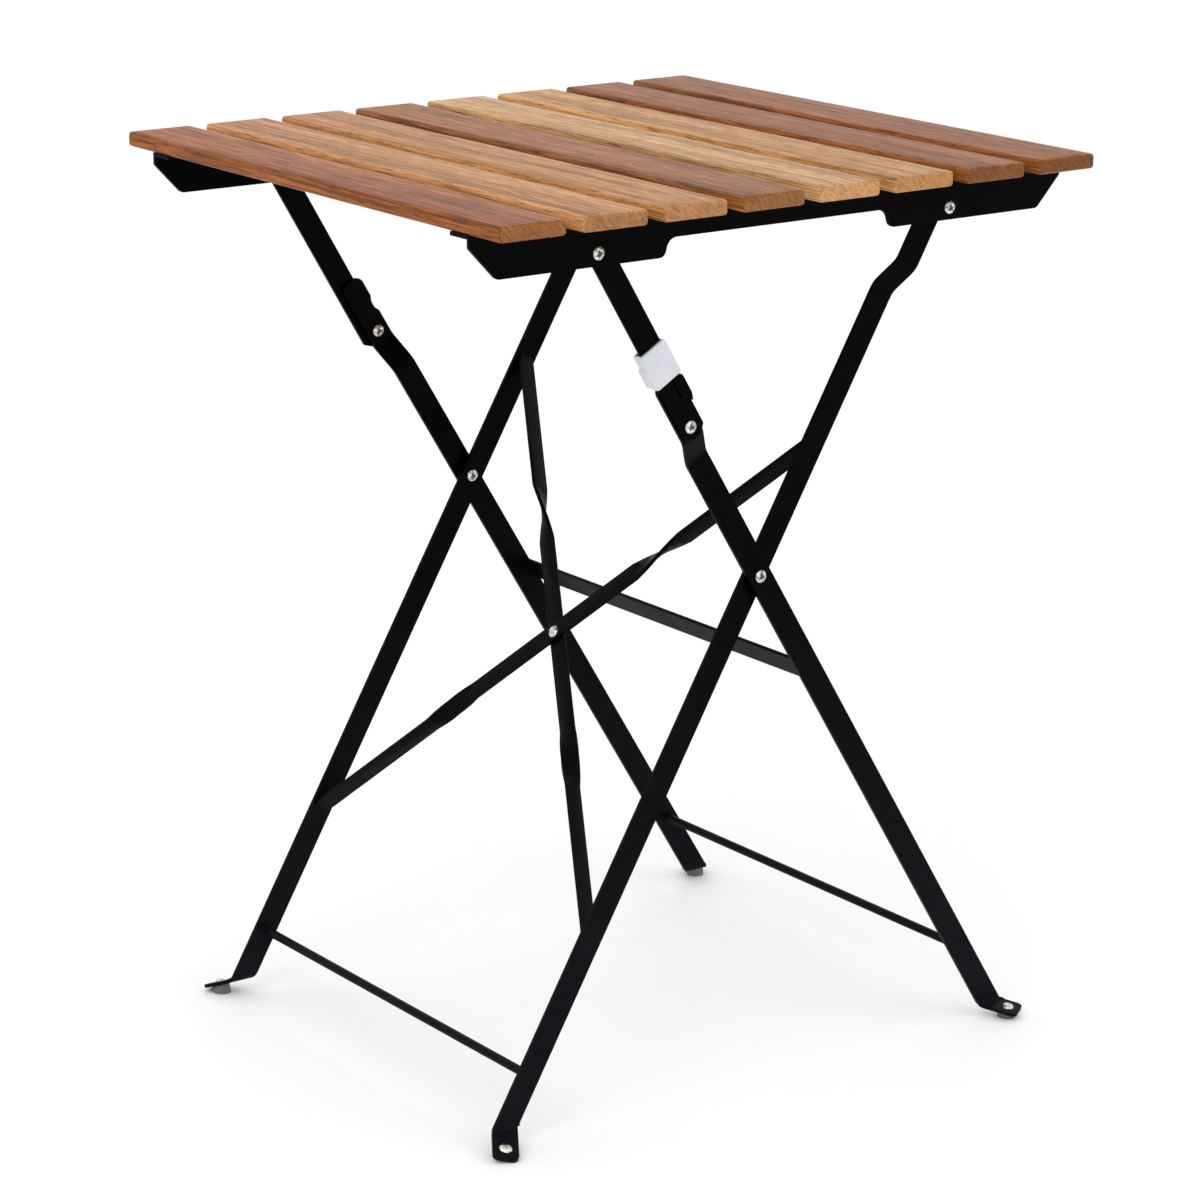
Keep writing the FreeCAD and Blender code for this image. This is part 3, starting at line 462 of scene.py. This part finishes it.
def screw_heads(name):
    """Pan heads under the flange, one per slat, each a grid of radius and angle.

    At t from the axis to the rim a head is height * (1 - t ** 4) ** 0.5 deep, less a cross recess."""
    low, high = (np.array(corner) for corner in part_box("slat_screws_" + name))
    radius = 3.6 * MM
    height = 2.0 * MM
    recess = 1.3 * MM
    arm = 0.55 * MM
    arm_slope = 0.3 * MM
    reach = 2.0 * MM
    reach_slope = 0.4 * MM
    around = 48
    share = np.concatenate([np.linspace(0.02, 0.8, 14), np.linspace(0.84, 1.0, 6)])[::-1]
    angle = np.linspace(0, 2 * math.pi, around, endpoint=False)
    a = radius * share[:, None] * np.cos(angle)
    b = radius * share[:, None] * np.sin(angle)
    nearest = np.minimum(np.abs(a), np.abs(b))
    furthest = np.maximum(np.abs(a), np.abs(b))
    cut = np.clip((arm - nearest) / arm_slope, 0, 1) * np.clip((reach - furthest) / reach_slope, 0, 1)
    depth = height * (1 - share[:, None] ** 4) ** 0.5 - recess * cut
    rings = np.stack([-a, b, -depth], axis=-1)
    rim = np.stack([-a[:1], b[:1], np.zeros((1, around))], axis=-1)
    rings = np.concatenate([rim, rings])
    points = []
    faces = []
    for number in range(1, SLAT_COUNT + 1):
        centre = middle("slat_%d" % number)
        spot = np.array([(low[0] + high[0]) / 2, centre[1], low[2] + height])
        faces += ring_faces(rings.shape[0], around, len(points) * rings.shape[0] * around)
        points.append(rings + spot)
    piece = finish_mesh("screw_heads_" + name, np.concatenate(points), faces)
    dress(piece, "slat_screws_" + name, ZINC)


# ---------------------------------------------------------------- steel


def weld_bead(name, node, path, radius=WELD_RADIUS):
    """Weld: a circle carried along a path, swelling by a sine of the distance run, thin at both ends."""
    ripple = 0.13
    thinnest = 0.25
    taper = 2.4
    tangent = np.gradient(path, axis=0)
    tangent /= np.linalg.norm(tangent, axis=1, keepdims=True)
    reference = np.array((1.0, 0.0, 0.0)) if abs(tangent[0][0]) < 0.7 else np.array((0.0, 1.0, 0.0))
    side = np.cross(tangent, reference)
    side /= np.linalg.norm(side, axis=1, keepdims=True)
    rise = np.cross(tangent, side)
    step = np.linalg.norm(np.diff(path, axis=0), axis=1)
    run = np.concatenate([[0], np.cumsum(step)])
    swell = radius * (1 + ripple * np.sin(run * 2 * math.pi / WELD_RIPPLE))
    swell *= np.clip(np.sin(math.pi * np.clip(run / run[-1], 0.02, 0.98)) * taper, thinnest, 1)
    angle = np.linspace(0, 2 * math.pi, 12, endpoint=False)
    loops = swell[:, None, None] * np.stack([np.cos(angle), np.sin(angle)], axis=-1)
    piece = skin(name, carried(path, loops, side, rise), crease=80)
    dress(piece, node, STEEL, replaces=False)


def line_between(start, end, count=60):
    return np.linspace(np.asarray(start, float), np.asarray(end, float), count)


def ring_round(centre, radius, count=48):
    """Circle about an axis along X, whose last point falls on its first."""
    angle = np.linspace(0, 2 * math.pi, count)
    return np.asarray(centre) + radius * np.stack([np.zeros(count), np.cos(angle), np.sin(angle)], -1)


def weld_rods():
    """Weld round each end of both tie rods, where they meet the legs."""
    sunk = 0.5 * MM
    fillet = 0.3 * MM
    for family in ("inner", "outer"):
        node = family + "_rod"
        low, high = (np.array(corner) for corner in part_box(node))
        radius = (high[2] - low[2]) / 2
        centre = (low + high) / 2
        for name, side in SIDES:
            spot = np.array([side * (high[0] - sunk), centre[1], centre[2]])
            weld_bead("weld_%s_rod_%s" % (family, name), node, ring_round(spot, radius + fillet),
                      radius=ROD_WELD_RADIUS)


def down_leg():
    """Unit direction of the outer leg, from its knee down to the scissor pivot, and the one across it."""
    knee = np.array(JOINTS["knee_fold"]["pos_m"])
    crossing = middle("scissor_rivet_near")
    down = crossing - knee
    down[0] = 0
    down /= np.linalg.norm(down)
    return down, np.array((0.0, -down[2], down[1]))


def weld_crossbar():
    """Straight weld along each side of the crossbar, at both legs."""
    node = "outer_crossbar"
    low, high = (np.array(corner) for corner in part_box(node))
    centre = (low + high) / 2
    down, across = down_leg()
    half_run = 8.2 * MM
    half_thickness = 1.6 * MM
    sunk = 0.7 * MM
    for name, side in SIDES:
        for face, offset in (("inner", -half_thickness), ("outer", half_thickness)):
            spot = np.array([side * (high[0] - sunk), centre[1], centre[2]]) + across * offset
            weld_bead("weld_crossbar_%s_%s" % (face, name), node,
                      line_between(spot - down * half_run, spot + down * half_run))


def turned_rivet(node, heads):
    """Rivet turned about X; heads says which ends, -1 or +1, are domed.

    A dome falls away from its crown as 1 - 0.75 * t ** 2.6, where t runs from the axis to the rim,
    and the setting tool leaves a three-lobed dimple in it, marked by the attribute dimple, where the finish
    paints shade."""
    low, high = (np.array(corner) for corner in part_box(node))
    rim = (high[2] - low[2]) / 2
    height = 2.3 * MM
    rim_height = 0.35 * MM
    dimple_depth = 1.1 * MM
    lobe_turn = 0.7
    angle = np.linspace(0, 2 * math.pi, 48, endpoint=False)
    share = np.concatenate([[0.01], np.linspace(0.08, 0.9, 16), [0.95, 0.985, 1.0]])
    lobes = 0.5 + 0.15 * np.cos(3 * angle + lobe_turn)
    bowl = np.clip(1 - (share[:, None] / lobes) ** 2, 0, 1)
    rise = height * (1 - 0.75 * share[:, None] ** 2.6) - dimple_depth * np.sqrt(bowl)
    rise[-1] = rim_height
    parts = []
    marks = []
    for end in (-1, 1):
        if end in heads:
            out = np.concatenate([rise, np.zeros((1, len(angle)))])
            radius = np.concatenate([share * rim, [rim]])
            mark = np.concatenate([bowl, np.zeros((1, len(angle)))])
        else:
            out = np.zeros((2, len(angle)))
            radius = np.array([0.05 * MM, SHANK_RADIUS])
            mark = np.zeros_like(out)
        face = (low[0] + height * (end in heads)) if end < 0 else (high[0] - height * (end in heads))
        along = face + end * out
        if end in heads:
            along = np.concatenate([along, np.full((1, len(angle)), face)])
            radius = np.concatenate([radius, [SHANK_RADIUS]])
            mark = np.concatenate([mark, np.zeros((1, len(angle)))])
        order = slice(None) if end < 0 else slice(None, None, -1)
        parts.append((along[order], radius[order]))
        marks.append(mark[order])
    along = np.concatenate([part[0] for part in parts])
    radius = np.concatenate([part[1] for part in parts])[:, None]
    centre = (low + high) / 2
    rings = np.stack([along, centre[1] + radius * np.cos(angle), centre[2] + radius * np.sin(angle)], -1)
    piece = skin("turned_" + node, rings, crease=50)
    mark = piece.data.attributes.new("dimple", "FLOAT", "POINT")
    mark.data.foreach_set("value", np.concatenate(marks).astype(np.float32).ravel())
    dress(piece, node, RIVET)


def dress_steel():
    """Steel pieces with rounded arrises, and the welds that join them."""
    straps = ["rail_near", "rail_far", "outer_crossbar", "brace_rising", "brace_falling",
              "inner_rod", "outer_rod"]
    for name, _ in SIDES:
        straps += ["upper_link_" + name, "inner_leg_" + name, "outer_leg_" + name]
    for node in straps:
        dress(eased_copy(node, ARRIS), node, STEEL)
    weld_rods()
    weld_crossbar()


def dress_fasteners():
    """Domed rivets at the pivots, and the plainer rivets, washers and bushes."""
    for name, _ in SIDES:
        for stem in ("link_rivet_", "leg_rivet_", "knee_rivet_"):
            turned_rivet(stem + name, (-1, 1))
        outward = 1 if name == "near" else -1
        turned_rivet("scissor_rivet_" + name, (outward,))
        turned_rivet("scissor_rivet_end_" + name, (-outward,))
        for stem in ("inner_foot_rivet_", "outer_foot_rivet_", "link_washer_", "leg_bush_",
                     "scissor_washer_"):
            dress(eased_copy(stem + name, FASTENER_ARRIS), stem + name, ZINC)
    dress(eased_copy("brace_rivet", FASTENER_ARRIS), "brace_rivet", ZINC)


def dress_mouldings():
    """Lock sleeve and the four glides."""
    dress(eased_copy("lock_sleeve", SLEEVE_ARRIS, 3), "lock_sleeve", SLEEVE)
    for family in ("inner", "outer"):
        for name, _ in SIDES:
            node = "%s_glide_%s" % (family, name)
            dress(eased_copy(node, GLIDE_ARRIS, 3), node, GLIDE)


# ---------------------------------------------------------------- setting


def pale_floor():
    """Plain floor: a square sheet far wider than the table, with a faint broad mottling."""
    half = 14.0
    corners = [(-half, -half, 0), (half, -half, 0), (half, half, 0), (-half, half, 0)]
    piece = finish_mesh("floor", corners, [(0, 1, 2, 3)])
    material, tree, shader, place = new_finish("floor_white")
    patches = noise(tree, place, 1.3, 3, 0.5)
    tree.links.new(mixed(tree, patches, (0.93, 0.93, 0.93, 1), (0.95, 0.95, 0.95, 1)),
                   shader.inputs["Base Color"])
    shader.inputs["Roughness"].default_value = 0.6
    shader.inputs["Specular IOR Level"].default_value = 0.2
    piece.data.materials.append(material)


def soft_lamp(name, spot, target, size, power):
    lamp = bpy.data.lights.new(name, "AREA")
    lamp.shape = "DISK"
    lamp.size = size
    lamp.energy = power
    piece = bpy.data.objects.new(name, lamp)
    bpy.context.scene.collection.objects.link(piece)
    piece.location = spot
    piece.rotation_euler = (Vector(target) - Vector(spot)).to_track_quat("-Z", "Y").to_euler()


def studio_light():
    """White room all round, a broad key lamp on the -Y side and a weaker fill on the +X side."""
    target = (0, 0, 0.4)
    room_strength = 1.08
    world = bpy.data.worlds.new("studio")
    bpy.context.scene.world = world
    world.use_nodes = True
    world.node_tree.nodes["Background"].inputs["Color"].default_value = (1, 1, 1, 1)
    world.node_tree.nodes["Background"].inputs["Strength"].default_value = room_strength
    soft_lamp("key", (1.2, -2.6, 3.2), target, 2.4, 25)
    soft_lamp("fill", (3.0, 1.6, 2.2), target, 2.0, 10)


def viewpoint():
    """Camera off the table's +X, -Y corner, looking down a little on the top."""
    down = 15.64
    heading = 54.48
    lens = bpy.data.cameras.new("viewpoint")
    lens.sensor_width = 36.0
    lens.lens = 117.73
    camera = bpy.data.objects.new("viewpoint", lens)
    bpy.context.scene.collection.objects.link(camera)
    camera.location = (2.44439, -1.74785, 1.18512)
    camera.rotation_euler = (math.radians(90 - down), 0, math.radians(heading))
    lens.clip_end = 60
    bpy.context.scene.camera = camera


# ---------------------------------------------------------------- assembly

draw = np.random.default_rng(7)
for number in range(1, SLAT_COUNT + 1):
    slat_board(number, draw)
for name, _ in SIDES:
    screw_heads(name)
dress_steel()
dress_fasteners()
dress_mouldings()
pale_floor()
studio_light()
viewpoint()
bpy.context.scene.view_settings.view_transform = "Standard"
